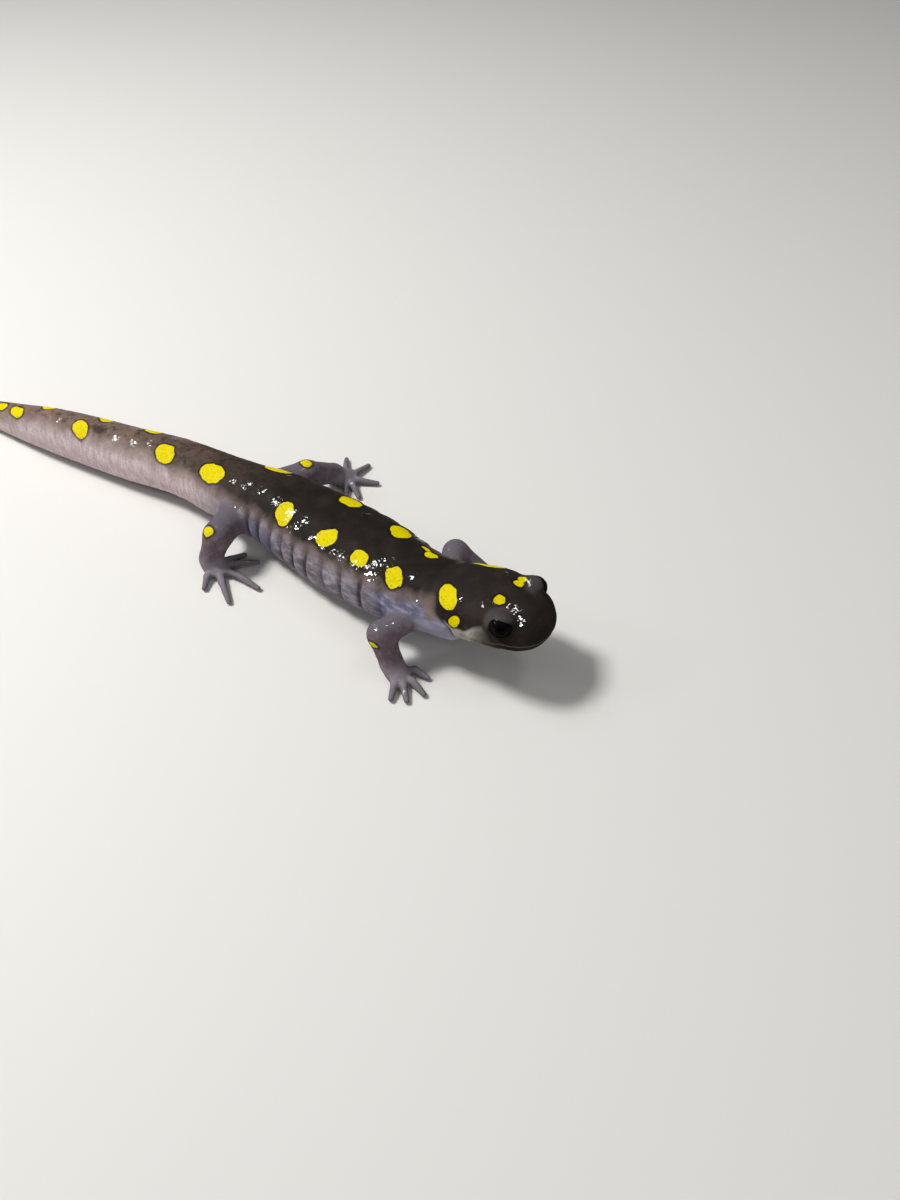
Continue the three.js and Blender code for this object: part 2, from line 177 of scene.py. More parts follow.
# Grooves over the ribs, folds of the throat and soft lumps, all as millimetres outward. A level is a
# height round the girth: 1 at the back, 0 at the side, -1 below.
grooves = {
    "at": (9.5, 13.2, 16.7, 20.0, 23.9, 27.5, 32.2, 37.1, 41.8, 46.2),  # along the flank
    "lean": 0.8,  # how far each slants forward towards the back
    "sway": 0.3,  # and how much they differ in that
    "wide": 0.48,
    "deep": 0.45,
    "uneven": 0.2,
    "hill": 0.23,
    "fadeAbove": (0.42, 0.72),
    "fadeBelow": (0.1, 0.75),
    "lostBelow": 0.75,
}
tailGrooves = {
    "first": -5.0,
    "pitch": 3.0,
    "count": 20,
    "wide": 0.5,
    "deep": 0.07,
    "fadeAbove": (0.5, 0.85),
    "fadeBelow": (0.6, 0.9),
}
throatFold = {
    "levels": (-1.0, -0.5, 0.0, 0.19, 0.42, 0.755, 0.95),
    "along": (58.8, 58.5, 58.05, 57.05, 56.3, 55.9, 54.9),
    "deep": 0.55,
    "wide": 0.42,
    "roll": 0.25,  # the swelling behind it
    "rollBehind": 1.1, "rollWide": 0.75,
    "wrinkles": [(2.9, 0.12, 0.4, 2.0), (4.7, 0.1, 0.45, 0.6)],  # how far behind, depth, width, top level
    "fade": (0.6, 0.97),
    "lostAbove": 0.93,
    "pouch": 0.45,  # soft fullness of the throat behind the fold
    "pouchAt": 55.4, "pouchWide": 2.5,
}
vent = {"at": -4.5, "long": 3.2, "swell": 0.4, "slit": 0.18, "slitLong": 1.6, "slitWide": 0.22}
backFurrow = {"deep": 0.12, "wide": 1.0, "stretch": ((6.0, 16.0), (46.0, 56.0))}
unevenness = {"lumps": 0.035, "streaks": 0.06, "stretch": ((2.0, 10.0), (46.0, 54.0))}


def grooveRelief(s, level):
    at, count = np.array(grooves["at"]), len(grooves["at"])
    marks = np.array([2 * at[0] - at[1], *at, 2 * at[-1] - at[-2]])
    s = s - grooves["lean"] * level
    place = np.interp(s, marks, np.arange(-1, count + 1))
    nearest = np.clip(np.round(place), 0, count - 1).astype(int)
    off = s - at[nearest] + grooves["sway"] * np.sin(2.3 * nearest) * (level - 0.1)
    inRow = smoothStep(-1.0, -0.4, place) * fadeOut(count - 0.6, count, place)
    hills = grooves["hill"] * (0.5 - 0.5 * np.cos(2 * np.pi * place)) * inRow
    strength = 1 - grooves["uneven"] + grooves["uneven"] * np.sin(1.7 * nearest + 0.5)
    cut = grooves["deep"] * strength * bump(off, grooves["wide"])
    below = 1 - grooves["lostBelow"] * smoothStep(*grooves["fadeBelow"], -level)
    return (hills - cut) * fadeOut(*grooves["fadeAbove"], level) * below


def tailRelief(s, level):
    place = (tailGrooves["first"] - s) / tailGrooves["pitch"]
    nearest = np.clip(np.round(place), 0, tailGrooves["count"] - 1)
    off = (place - nearest) * tailGrooves["pitch"]
    fade = fadeOut(*tailGrooves["fadeAbove"], level) * fadeOut(*tailGrooves["fadeBelow"], -level)
    return -tailGrooves["deep"] * bump(off, tailGrooves["wide"]) * fade


def pastFold(s, level):
    # how far in front of the throat fold a point lies, negative behind it
    return s - np.interp(level, throatFold["levels"], throatFold["along"])


def foldRelief(s, level):
    off = pastFold(s, level)
    relief = throatFold["roll"] * bump(off + throatFold["rollBehind"], throatFold["rollWide"])
    relief -= throatFold["deep"] * bump(off, throatFold["wide"])
    for behind, deep, wide, top in throatFold["wrinkles"]:
        relief -= deep * bump(off + behind, wide) * fadeOut(top - 0.4, top, level)
    relief *= 1 - throatFold["lostAbove"] * smoothStep(*throatFold["fade"], level)
    pouch = throatFold["pouch"] * bump(s - throatFold["pouchAt"], throatFold["pouchWide"])
    return relief + pouch * fadeOut(-0.4, 0.4, level)


def ventRelief(s, side, level):
    # soft swelling under the tail base with a short slit along its middle
    low = fadeOut(-0.8, -0.2, level)
    off = s - vent["at"]
    slit = vent["slit"] * bump(off, vent["slitLong"]) * bump(side, vent["slitWide"])
    return (vent["swell"] * bump(off, vent["long"]) - slit) * low


def lumps(points, s, level):
    x, y, z = points.T
    slow = np.sin(1.9 * x + 0.8 * np.sin(1.3 * z)) * np.sin(2.1 * y + 1.1) * np.sin(1.8 * z + 0.4 * x)
    streaks = np.sin(0.8 * s + 2.0 * np.sin(0.5 * s)) * np.sin(8.0 * level + 0.35 * s)
    flank = bump(level + 0.1, 0.5) * within(unevenness["stretch"], s)
    return unevenness["lumps"] * slow + unevenness["streaks"] * streaks * flank


mouth = {
    "corner": 62.8,
    "along": (62.0, 66.6, 68.7, 70.3, 72.0, 74.8),
    "rise": (-0.65, -0.1, 0.05, 0.35, 0.5, 0.5),  # how far the lip line lies over the widest level
    "deep": 0.2,
    "wide": 0.13,
    "inset": 0.16,  # how far the lower jaw lies back under the upper lip
    "lip": 0.1,
}


def overLipLine(s, height):
    return height - np.interp(s, mouth["along"], mouth["rise"])


def mouthRelief(s, height):
    off = overLipLine(s, height)
    line = -mouth["deep"] * bump(off, mouth["wide"])
    under = -mouth["inset"] * smoothStep(0.0, 0.5, -off) * fadeOut(1.2, 3.0, -off)
    lips = mouth["lip"] * (bump(off - 0.5, 0.4) + 0.7 * bump(off + 0.6, 0.35))
    return (line + under + lips) * smoothStep(mouth["corner"] - 0.6, mouth["corner"] + 1.2, s)


def bodyDistance(points):
    at = alongBody(points)
    s, side, height = at["s"], at["side"], at["height"]
    across, upright = side / at["halfWide"], height / at["halfTall"]
    power = at["full"]
    share = (np.abs(across) ** power + np.abs(upright) ** power) ** (1 / power)
    reach = (np.hypot(side, height) + 1e-6) / (share + 1e-6 / at["halfTall"])
    toSnout = 1 - (snoutEnd - s) / body["snoutRound"]
    toTail = 1 - (s - tailEnd) / body["tailRound"]
    short = np.maximum(np.maximum(toSnout, toTail), 0.0)
    closing = np.where(toSnout > toTail, body["snoutRound"], body["tailRound"])
    soft = body["roundPower"]
    level = (share**soft + short**soft) ** (1 / soft) + 1e-6
    slope = np.hypot((share / level) ** (soft - 1) / reach, (short / level) ** (soft - 1) / closing)
    distance = (level - 1) / np.maximum(slope, 0.05)
    girth = upright / np.maximum(np.hypot(across, upright), 1e-6)
    relief = grooveRelief(s, girth) + tailRelief(s, girth) + foldRelief(s, girth)
    relief += mouthRelief(s, height) + ventRelief(s, side, girth) + lumps(points, s, girth)
    furrow = backFurrow["deep"] * bump(side, backFurrow["wide"]) * within(backFurrow["stretch"], s)
    relief -= furrow * (girth > 0)
    return distance - relief


def tube(points, start, end, thickStart, thickEnd, belly=0.0):
    start, end = np.array(start), np.array(end)
    way = end - start
    t = np.clip(((points - start) @ way) / (way @ way), 0.0, 1.0)
    radius = (thickStart + (thickEnd - thickStart) * t) / 2 + belly * 4 * t * (1 - t)
    return lengthOf(points - (start + t[:, None] * way)) - radius


def ball(points, centre, size, turn=0.0):
    away = points - np.array(centre)
    c, s = math.cos(turn), math.sin(turn)
    away = np.stack([c * away[:, 0] + s * away[:, 1], c * away[:, 1] - s * away[:, 0], away[:, 2]], 1)
    half = np.array(size) / 2
    near = lengthOf(away / half)
    return near * (near - 1) / np.maximum(lengthOf(away / half**2), 1e-6)


limbs = {
    "front_right": {
        "root": (52.0, -5.6, 9.4), "bend": (49.0, -12.8, 8.3),
        "ankle": (51.5, -13.4, 2.7), "sole": (53.1, -13.7, 1.1),
        "thick": (4.4, 4.5, 4.1), "soleSize": (5.0, 4.4, 2.4),
        "toes": [
            ((55.1, -11.3), (57.8, -11.1)), ((56.3, -13.6), (59.5, -14.4)), ((55.6, -15.3), (57.9, -17.3)),
            ((54.1, -15.9), (55.4, -18.6)),
        ],
    },
    "front_left": {
        "root": (52.0, 2.8, 9.4), "bend": (48.2, 10.8, 9.0),
        "ankle": (56.0, 13.0, 2.8), "sole": (57.8, 13.4, 1.1),
        "thick": (4.4, 4.5, 4.1), "soleSize": (5.0, 4.4, 2.4),
        "toes": [
            ((60.0, 12.0), (62.2, 10.4)), ((60.9, 13.4), (63.6, 13.4)), ((60.1, 14.9), (62.4, 16.6)),
            ((58.5, 15.7), (59.6, 18.4)),
        ],
    },
    "hind_right": {
        "root": (5.8, -4.2, 7.9), "bend": (7.6, -11.9, 8.3),
        "ankle": (6.3, -14.0, 2.8), "sole": (7.6, -13.9, 1.2),
        "thick": (6.6, 5.2, 4.3), "soleSize": (6.2, 5.4, 2.6),
        "toes": [
            ((8.2, -10.9), (9.2, -8.0)), ((10.2, -10.9), (12.7, -8.0)), ((12.6, -13.2), (17.9, -13.1)),
            ((11.4, -16.4), (15.8, -19.0)), ((7.9, -17.0), (9.4, -19.3)),
        ],
    },
    "hind_left": {
        "root": (5.4, 4.2, 7.6), "bend": (8.6, 12.6, 7.6),
        "ankle": (9.0, 19.8, 2.9), "sole": (10.3, 21.5, 1.2),
        "thick": (6.6, 5.2, 4.3), "soleSize": (6.2, 5.4, 2.6),
        "toes": [
            ((12.3, 19.9), (14.3, 17.6)), ((13.3, 21.0), (16.6, 19.0)), ((13.3, 22.8), (17.0, 24.9)),
            ((11.2, 24.2), (11.6, 28.4)), ((8.8, 23.8), (6.2, 27.2)),
        ],
    },
}
limbShape = {
    "upperSwell": 0.12,
    "lowerSwell": 0.1,
    "wrist": (0.96, 0.8),  # its two ends, as shares of the ankle's thickness
    "wristLift": 0.5,
    # how softly the pieces run into each other
    "intoFoot": 1.2,
    "intoToe": 0.25,
    "intoPad": 0.5,
    "intoAnkle": 0.9,
    "intoBend": 1.3,
    "intoBody": 1.7,
    "room": 5.5,  # how far round its line a limb is worked out
}
joints = ("root", "bend", "ankle", "sole")
toe = {
    "start": 0.35,  # as a share of the way from the middle of the sole to the knuckle
    "thick": (1.75, 1.45, 1.0),
    "rootHeight": 1.0,
    "knuckleHeight": 1.1,
    "tipHeight": 0.62,
}


def limbDistance(points, limb):
    root, bend, ankle, sole = (np.array(limb[joint]) for joint in joints)
    thick = limb["thick"]
    upper = tube(points, root, bend, thick[0], thick[1], limbShape["upperSwell"])
    lower = tube(points, bend, ankle, thick[1], thick[2], limbShape["lowerSwell"])
    ends = [thick[2] * share for share in limbShape["wrist"]]
    wrist = tube(points, ankle, sole + (0, 0, limbShape["wristLift"]), *ends)
    pad = ball(points, sole, limb["soleSize"], math.atan2(sole[1] - ankle[1], sole[0] - ankle[0]))
    foot = blendMin(wrist, pad, limbShape["intoFoot"])
    for knuckle, tip in limb["toes"]:
        start = (*(sole[:2] + (np.array(knuckle) - sole[:2]) * toe["start"]), toe["rootHeight"])
        middle = (*knuckle, toe["knuckleHeight"])
        first = tube(points, start, middle, *toe["thick"][:2])
        last = tube(points, middle, (*tip, toe["tipHeight"]), *toe["thick"][1:])
        foot = blendMin(foot, blendMin(first, last, limbShape["intoToe"]), limbShape["intoPad"])
    return blendMin(upper, blendMin(lower, foot, limbShape["intoAnkle"]), limbShape["intoBend"])


def limbBox(limb):
    reached = np.array([limb[joint] for joint in joints] + [(*tip, 0.0) for _, tip in limb["toes"]])
    return reached.min(0) - limbShape["room"], reached.max(0) + limbShape["room"]


eye = {"x": 68.4, "y": 0.8, "aside": 5.2, "z": 16.15, "radius": 2.15}
lids = {
    "shell": 2.36,
    "thin": 0.15,  # how much the lid thins to its edge
    "brow": (67.7, 4.6, 15.5),
    "browSize": (6.4, 4.8, 4.8),
    "browSoft": 1.1, "shellSoft": 0.7,
    "gaze": (0.46, 0.84, 0.28),  # forward, outward, up
    "slit": (0.81, -0.59, 0.35),
    "along": 66.0,  # half angles of the opening seen from the middle of the eye
    "above": 56.0,
    "below": 58.0,
    "slope": 0.33,  # how much lower the upper lid is at the front corner
    "pointed": 1.7,  # 2 rounds the corners, less draws them to a point
    "pocket": 1.75,  # how near the middle of the eye the hole for it reaches
    "rim": 0.07,
    "crease": 0.14,  # where the lid meets the top of the head
    "hollow": (70.6, 2.6, 17.0),  # dip in front of the eye
    "hollowDeep": 0.3,
    "hollowWide": 1.5,
}
nostril = {
    "x": 74.15, "y": 0.7, "aside": 2.5, "z": 14.1, "radius": 0.18,
    "edge": 0.15, "rim": 0.05, "rimRadius": 0.5, "rimWide": 0.22,
}


def pairPlace(pair, side):
    # where one of a pair lies: -1 is the right, 1 the left
    return np.array((pair["x"], pair["y"] + side * pair["aside"], pair["z"]))


def eyeAxes(side):
    out = unit(np.array((lids["gaze"][0], side * lids["gaze"][1], lids["gaze"][2])))
    slit = np.array((lids["slit"][0], side * lids["slit"][1], lids["slit"][2]))
    slit = unit(slit - out * (slit @ out))
    up = np.cross(slit, out) * -side
    return out, slit, up * (1 if up[2] > 0 else -1)


def lidOpening(points, side):
    # millimetres outside the almond-shaped opening, and the distance from the middle of the eye
    away = points - pairPlace(eye, side)
    radius = lengthOf(away)
    out, slit, up = eyeAxes(side)
    along = away @ slit / radius / math.sin(math.radians(lids["along"]))
    above = away @ up / radius
    upper = math.sin(math.radians(lids["above"])) * (1 - lids["slope"] * np.clip(along, -1, 1))
    tall = np.where(above > 0, upper, math.sin(math.radians(lids["below"])))
    almond = (np.abs(above) / tall) ** lids["pointed"] + along**2 - 1
    almond = np.where(away @ out > 0, almond, 1.0)
    return almond * 0.8 * eye["radius"], radius


def addEyes(points, field):
    for side in (-1, 1):
        brow, dip = (np.array((x, eye["y"] + side * y, z)) for x, y, z in (lids["brow"], lids["hollow"]))
        field = blendMin(field, ball(points, brow, lids["browSize"]), lids["browSoft"])
        field = field + lids["hollowDeep"] * bump(lengthOf(points - dip), lids["hollowWide"])
        outside, radius = lidOpening(points, side)
        shell = radius - lids["shell"] + lids["thin"] * fadeOut(0.0, 0.9, outside)
        inner = smoothStep(0.2, 1.4, -side * (points[:, 1] - pairPlace(eye, side)[1]))
        crease = lids["crease"] * bump(field, 0.4) * bump(shell, 0.4) * smoothStep(0.8, 1.6, outside)
        field = blendMin(field, shell, lids["shellSoft"]) + crease * inner
        pocket = np.maximum(outside, lids["pocket"] - radius)
        field = blendMax(field, -pocket, lids["rim"])
    return field


def addNostrils(points, field):
    for side in (-1, 1):
        away = lengthOf(points - pairPlace(nostril, side))
        field = field - nostril["rim"] * bump(away - nostril["rimRadius"], nostril["rimWide"])
        field = blendMax(field, nostril["radius"] - away, nostril["edge"])
    return field


headStart = 58.0  # eyes and nostrils are worked out only in front of it


def skinDistance(points):
    field = bodyDistance(points)
    for limb in limbs.values():
        low, high = limbBox(limb)
        near = np.nonzero(np.all((points > low) & (points < high), axis=1))[0]
        if len(near):
            field[near] = blendMin(field[near], limbDistance(points[near], limb), limbShape["intoBody"])
    near = np.nonzero(points[:, 0] > headStart)[0]
    if len(near):
        field[near] = addNostrils(points[near], addEyes(points[near], field[near]))
    return field


def inChunks(work, points, size=150000):
    return np.concatenate([work(points[i : i + size]) for i in range(0, len(points), size)])


netGrid = {
    "cell": 0.5,
    "low": (-94.5, -20.0, -0.8),
    "high": (76.5, 30.5, 20.5),
    "probe": 0.02,  # how far off a slope is felt
    "move": 0.3,  # the most a point moves in one go
    "ease": 0.5,  # how far it then goes to the middle of its neighbours
}


def surfaceNet():
    # one point in each cell that the skin passes through, and a face across each edge it cuts
    step = netGrid["cell"]
    axes = [np.arange(a, b, step) for a, b in zip(netGrid["low"], netGrid["high"])]
    grid = np.stack(np.meshgrid(*axes, indexing="ij"), -1).reshape(-1, 3)
    solid = (inChunks(skinDistance, grid) < 0).reshape([len(a) for a in axes])
    wide, deep, tall = (n - 1 for n in solid.shape)
    count = sum(
        solid[i : i + wide, j : j + deep, k : k + tall].astype(int)
        for i in (0, 1) for j in (0, 1) for k in (0, 1)
    )
    mixed = (count > 0) & (count < 8)
    number = np.full(mixed.shape, -1)
    number[mixed] = np.arange(mixed.sum())
    points = (np.argwhere(mixed) + 0.5) * step + np.array(netGrid["low"])
    faces = []
    for a in range(3):
        order = [a, (a + 1) % 3, (a + 2) % 3]
        inside, cell = solid.transpose(order), number.transpose(order)
        cut = inside[:-1, 1:-1, 1:-1] != inside[1:, 1:-1, 1:-1]
        i, j, k = np.nonzero(cut)
        quad = np.stack([cell[i, j, k], cell[i, j + 1, k], cell[i, j + 1, k + 1], cell[i, j, k + 1]], 1)
        leaving = inside[:-1, 1:-1, 1:-1][i, j, k]
        quad[~leaving] = quad[~leaving][:, ::-1]
        faces.append(quad)
    return points, np.concatenate(faces)


def ontoSkin(points, passes):
    small = netGrid["probe"]
    for _ in range(passes):
        value = inChunks(skinDistance, points)
        slope = np.stack([
            (inChunks(skinDistance, points + small * np.eye(3)[k]) - value) / small for k in range(3)
        ], 1)
        move = -slope * (value / np.maximum((slope * slope).sum(1), 0.05))[:, None]
        points = points + move * np.minimum(1.0, netGrid["move"] / np.maximum(lengthOf(move), 1e-9))[:, None]
    return points


def relaxed(points, edges, share):
    total = np.zeros_like(points)
    a, b = edges.T
    for k in range(3):
        total[:, k] += np.bincount(a, points[b, k], len(points)) + np.bincount(b, points[a, k], len(points))
    count = np.bincount(a, minlength=len(points)) + np.bincount(b, minlength=len(points))
    return points + share * (total / np.maximum(count, 1)[:, None] - points)


def valuesOf(items, field, columns, kind=float):
    values = np.zeros(len(items) * columns, kind)
    items.foreach_get(field, values)
    return values.reshape(-1, columns)


def pointsOf(mesh):
    return valuesOf(mesh.vertices, "co", 3)


def setPoints(mesh, points):
    mesh.vertices.foreach_set("co", points.ravel())
    mesh.update()


def setField(mesh, name, values):
    layer = mesh.attributes.new(name, "FLOAT", "POINT")
    layer.data.foreach_set("value", values.astype(np.float32))


def settle(mesh, rounds):
    edges, points = valuesOf(mesh.edges, "vertices", 2, int), pointsOf(mesh)
    for _ in range(rounds):
        points = ontoSkin(relaxed(points, edges, netGrid["ease"]), 1)
    setPoints(mesh, ontoSkin(points, 2))


def refine(mesh, wanted):
    # splits the faces round the points where wanted(points) is true
    bm = bmesh.new()
    bm.from_mesh(mesh)
    chosen = wanted(pointsOf(mesh))
    bm.verts.ensure_lookup_table()
    faces = [f for f in bm.faces if all(chosen[v.index] for v in f.verts)]
    edges = list({e for f in faces for e in f.edges})
    bmesh.ops.subdivide_edges(bm, edges=edges, cuts=1, use_grid_fill=True)
    bmesh.ops.triangulate(bm, faces=[f for f in bm.faces if len(f.verts) > 4])
    bm.to_mesh(mesh)
    bm.free()


# The net is made finer three times: at the head and feet, at the eyes, nostrils and lips, and at the
# edges of the lids and nostrils.
def headOrFoot(points):
    x, y, z = points.T
    sole = limbs["hind_right"]["sole"]  # its toes reach in under the belly
    foot = (z < 4.5) & (np.abs(y + 0.3) > 10.0)
    foot |= (z < 3.4) & (np.hypot(x - sole[0] - 2.0, y - sole[1]) < 8.0) & (y < -7.6)
    return (x > 56.5) & (z > 5.0) | foot


def eyeOrMouth(points):
    near = np.zeros(len(points), bool)
    for side in (-1, 1):
        near |= lengthOf(points - pairPlace(eye, side)) < 3.5
        near |= lengthOf(points - pairPlace(nostril, side)) < 0.9
    at = alongBody(points)
    return near | (np.abs(overLipLine(at["s"], at["height"])) < 0.7) & (at["s"] > 61.8)


def lidEdge(points):
    near = np.zeros(len(points), bool)
    for side in (-1, 1):
        outside, radius = lidOpening(points, side)
        near |= (np.abs(outside) < 0.4) & (radius < 3.2)
        near |= lengthOf(points - pairPlace(nostril, side)) < 0.5
    return near


def makeSkin():
    points, faces = surfaceNet()
    mesh = bpy.data.meshes.new("salamander_skin")
    mesh.from_pydata(points.tolist(), [], faces.tolist())
    settle(mesh, 3)
    print("skin net", len(mesh.vertices))
    for wanted in (headOrFoot, eyeOrMouth, lidEdge):
        refine(mesh, wanted)
        settle(mesh, 1)
    setPoints(mesh, np.maximum(pointsOf(mesh), (-np.inf, -np.inf, 0.0)))
    mesh.shade_smooth()
    print("skin", sum(len(p.vertices) - 2 for p in mesh.polygons), "triangles")
    return mesh


# Yellow spots: along the body, turn round it from the left side over the back (90), length, breadth,
# lean of the length towards the flank, squareness
spots = [
    (-62.4, 108, 2.8, 1.9, 0, 2.0),
    (-57.1, 114, 4.2, 2.5, 12, 2.3),
    (-38.2, 115, 5.0, 3.4, 40, 2.2),
    (-15.3, 117, 5.2, 4.0, 22, 2.0),
    (-1.8, 115.5, 6.3, 4.2, 0, 2.0),
    (18.4, 124, 5.1, 3.8, 63, 2.0),
    (31.1, 123, 4.4, 3.7, -37, 2.3),
    (40.0, 125, 3.6, 3.0, 0, 2.4),
    (47.7, 125, 4.0, 3.0, 49, 3.4),
    (57.9, 125, 4.8, 3.1, 69, 2.4),
    (59.8, 161.5, 2.5, 1.8, -49, 2.2),
    (66.1, 105, 2.1, 1.85, 62, 2.0),
    (66.75, 67.5, 1.9, 1.5, 0, 2.0),
    (66.8, 57, 1.4, 1.3, 0, 2.0),
    (-71.5, 66, 2.6, 1.8, 10, 2.2),
    (-50.0, 68, 3.4, 2.3, 9, 2.0),
    (-35.2, 60, 3.8, 2.8, 15, 2.0),
    (-22.7, 57, 4.6, 3.3, 14, 2.0),
    (9.0, 50, 6.4, 4.2, 5, 2.0),
    (27.3, 57, 4.8, 4.0, 10, 2.2),
    (40.9, 59, 4.6, 4.0, 30, 2.2),
    (50.4, 65, 2.8, 1.8, 0, 2.0),
    (48.0, 57, 1.9, 1.0, 0, 2.0),
    (60.6, 41, 6.4, 2.8, 0, 2.0),
]
# the ones on the legs, by the place they sit at, with length and breadth
legSpots = [
    ((8.7, 12.8, 10.4), 2.5, 2.0),
    ((7.2, -13.4, 10.2), 2.6, 2.0),
    ((49.2, -15.2, 8.0), 1.7, 1.1),
]
# and blotches of brown, laid out in the same way
blotches = [(-55.6, 107, 1.8, 1.0, 33, 2.0), (-33.8, 109, 3.5, 2.2, 0, 2.0)]

# where water clings to the skin: along the body, turn round it, and how wide the patch is
pools = [
    (-50.5, 111, 0.6), (-44.5, 113, 0.7), (-28.5, 110, 0.9), (-24.0, 108, 0.6), (-23.6, 114, 0.6),
    (-20.0, 105, 0.7), (-28.2, 155, 0.5), (3.7, 115, 0.5), (7.0, 113, 0.8), (11.1, 112, 0.8),
    (15.2, 115, 0.9), (19.8, 116, 0.9), (19.6, 125, 0.7), (21.6, 137, 0.5), (23.4, 129, 0.8),
    (24.3, 120, 0.9), (27.4, 132, 0.5), (28.6, 128, 0.5), (31.3, 135, 0.6), (34.5, 134, 0.7),
    (36.6, 135, 1.0), (40.2, 136, 0.8), (42.3, 133, 0.9), (43.6, 137, 1.2), (44.9, 146, 0.9),
    (44.6, 108, 0.8), (44.9, 116, 1.0), (43.4, 121, 0.6), (51.0, 114, 0.5), (60.2, 124, 0.4),
    (64.6, 119, 0.7), (65.3, 113, 0.9), (66.5, 119, 0.8), (67.8, 112, 1.0), (69.0, 110, 1.2),
    (69.6, 115, 1.2), (70.4, 111, 0.9), (70.6, 118, 0.8), (67.4, 60, 1.1), (7.7, 152, 0.9),
    (14.8, 168, 0.7), (31.6, 176, 0.9), (36.3, 168, 1.1), (37.6, 173, 0.8), (47.8, 166, 0.9),
    (50.2, 152, 0.9), (52.3, 160, 1.1), (53.2, 151, 0.7), (57.3, 172, 0.7), (62.5, 164, 0.7),
    (-16.0, 70, 1.2), (12.0, 66, 1.1), (33.0, 68, 1.1), (64.2, 58, 0.7), (44.0, 40, 1.2),
    (20.0, 35, 1.3), (0.0, 45, 1.0), (-40.0, 55, 0.9),
]
# and on the legs: the place on the skin, and how wide the patch is
legPools = [
    ((8.2, -10.6, 10.6), 0.9), ((12.1, -9.4, 1.5), 0.8), ((8.7, -16.1, 1.9), 0.8),
    ((12.2, -13.7, 2.0), 0.7), ((14.6, -17.6, 1.5), 0.5), ((50.3, -11.5, 10.6), 0.8),
    ((51.7, -10.1, 10.5), 0.8), ((49.4, -13.6, 10.2), 0.7), ((52.6, -14.9, 3.2), 0.7),
    ((54.6, -14.0, 2.3), 0.7), ((57.2, -11.2, 1.6), 0.6), ((57.0, -16.4, 1.5), 0.5),
    ((48.6, 10.6, 11.2), 0.9), ((12.6, 21.0, 2.2), 0.8), ((8.4, 11.0, 10.2), 0.8),
    ((13.5, 23.0, 1.8), 0.7), ((59.2, 13.2, 2.2), 0.7),
]
water = {
    "trace": 0.004,  # how much film lies between the patches
    "edge": (1.35, 0.6),  # where a patch ends and where it is full, as shares of its width
    "legEdge": (1.6, 0.8),
    "lookingUp": (0.0, 0.3),  # how far up the skin has to look to hold it
}


def bodyPoint(s, turn):
    row = rowsAt(np.array([s]))[0]
    c, n = math.cos(math.radians(turn)), math.sin(math.radians(turn))
    reach = (abs(c) ** row[15] + abs(n) ** row[15]) ** (-1 / row[15])
    tall = row[13] if n > 0 else row[14]
    return row[:3] + row[6:9] * (c * reach * row[12]) + row[9:12] * (n * reach * tall), row[3:6]


def spotDistance(points, normals, centre, ahead, size, lean, square):
    # millimetres outside a patch that follows the round of the skin, negative inside it
    nearest = np.argmin(lengthOf(points - centre))
    middle, out = points[nearest], normals[nearest]
    ahead = unit(ahead - out * (ahead @ out))
    around = np.cross(ahead, out)
    away = points - middle
    lift = away @ out
    v = away @ around
    v = np.where(v < 0, -1, 1) * np.hypot(v, np.minimum(lift, 0))
    u = away @ ahead
    c, s = math.cos(math.radians(lean)), math.sin(math.radians(lean))
    u, v = u * c + v * s, v * c - u * s
    far = np.hypot(u, v) + 1e-6
    share = (np.abs(2 * u / size[0]) ** square + np.abs(2 * v / size[1]) ** square) ** (1 / square)
    distance = far - far / (share + 1e-6)
    return np.where((normals @ out > -0.2) & (np.abs(lift) < 6), distance, 9.0)


def marksDistance(points, normals, marks):
    distance = np.full(len(points), 9.0)
    for centre, ahead, size, lean, square in marks:
        distance = np.minimum(distance, spotDistance(points, normals, centre, ahead, size, lean, square))
    return np.clip(distance, -4, 4)


def onBody(marks):
    return [(*bodyPoint(s, turn), (long, broad), *shape) for s, turn, long, broad, *shape in marks]


def onLegs(marks):
    ahead = np.array((1.0, 0.0, 0.0))
    return [(np.array(centre), ahead, (long, broad), 0, 2.0) for centre, long, broad in marks]


# Where each tone lies. Pairs run from none to full: along the body where not said otherwise. A level is
# a height round the girth, as for the grooves.
zones = {
    # where the dark of the back ends, in degrees above the side of the body
    "along": (-93, -40, -27, -18, -12, 0, 5, 10, 16, 23, 29, 35, 40, 45, 49, 53, 58),
    "edge": (62, 58, 62, 54, 46, 43, 39, 38, 39, 39, 39, 39, 40, 41, 42, 44, 44),
    "headAlong": (56.0, 60.0, 61.5, 62.7, 64.2, 65.6, 67.0, 69.0, 71.0, 75.0),
    "headEdge": (10, 10, 8, 16, 26, 33, 25, 0, -12, -25),
    "limb": (-0.9, 0.9),  # by how much nearer the limb is than the body
    "hand": (5.6, 2.0),  # by height over the floor
    "toe": (1.9, 1.3),
    "belly": (0.35, 0.95),  # by level, downward
    "tail": (8.5, -9.0),
    "rear": (18.0, -46.0),
    "head": (-0.5, 0.35),  # from the throat fold
    "cheek": (67.5, 62.0),
    "shoulder": ((43.5, 47.0), (56.0, 59.5)),
    "shoulderLevel": (0.62, 0.4),
    "neck": (55.6, 1.2, 1.5),  # its place, how far that moves forward with the level, its width
    "lipOver": 0.42,  # millimetres over the lip line
    "lipWide": 0.17,
    "hip": ((6.0, 9.0), (15.0, 21.0)),
    "throat": ((50.0, 54.0), (60.0, 66.0)),
    "throatLevel": (0.3, -0.15),
}
skinFields = []  # names of what is painted on the skin


